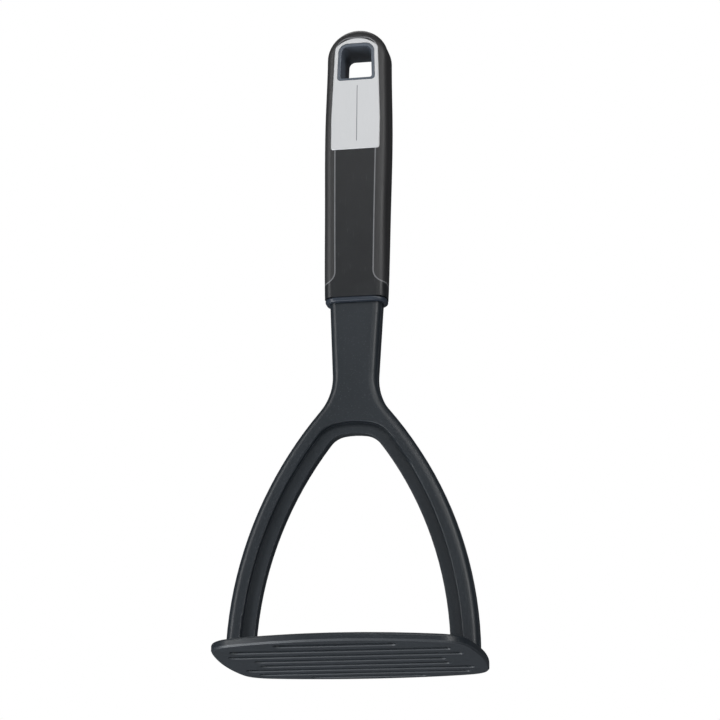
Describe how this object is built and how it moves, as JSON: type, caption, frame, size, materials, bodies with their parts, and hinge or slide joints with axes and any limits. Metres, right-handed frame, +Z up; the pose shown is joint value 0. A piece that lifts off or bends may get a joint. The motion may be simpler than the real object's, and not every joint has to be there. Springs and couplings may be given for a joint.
{
  "type": "potato masher",
  "caption": "Hand potato masher: slotted rounded plate on an arched two-arm fork, with a soft-sided handle, a silver badge plate and a hanging eye.",
  "frame": {"origin": "centre of the pressing plate's flat underside", "axes": "+Z up the handle to the hanging eye, X across the width of the plate, -Y towards the front face with the badge"},
  "size_m": [0.1076, 0.0874, 0.274],
  "materials": {
    "nylon": "fine matt moulded texture",
    "blue_trim": "satin slate blue",
    "grey_core": "satin mid grey",
    "black_panel": "satin black",
    "soft_grip": "soft touch black",
    "silver_badge": "satin silver"
  },
  "bodies": {
    "root": {"mash_plate": "nylon", "fork_frame": "nylon", "end_collar": "blue_trim", "handle_core": "grey_core", "front_panel": "black_panel", "back_panel": "black_panel", "side_grip": "soft_grip", "badge_plate": "silver_badge", "eye_liner": "blue_trim"}
  },
  "joints": []
}
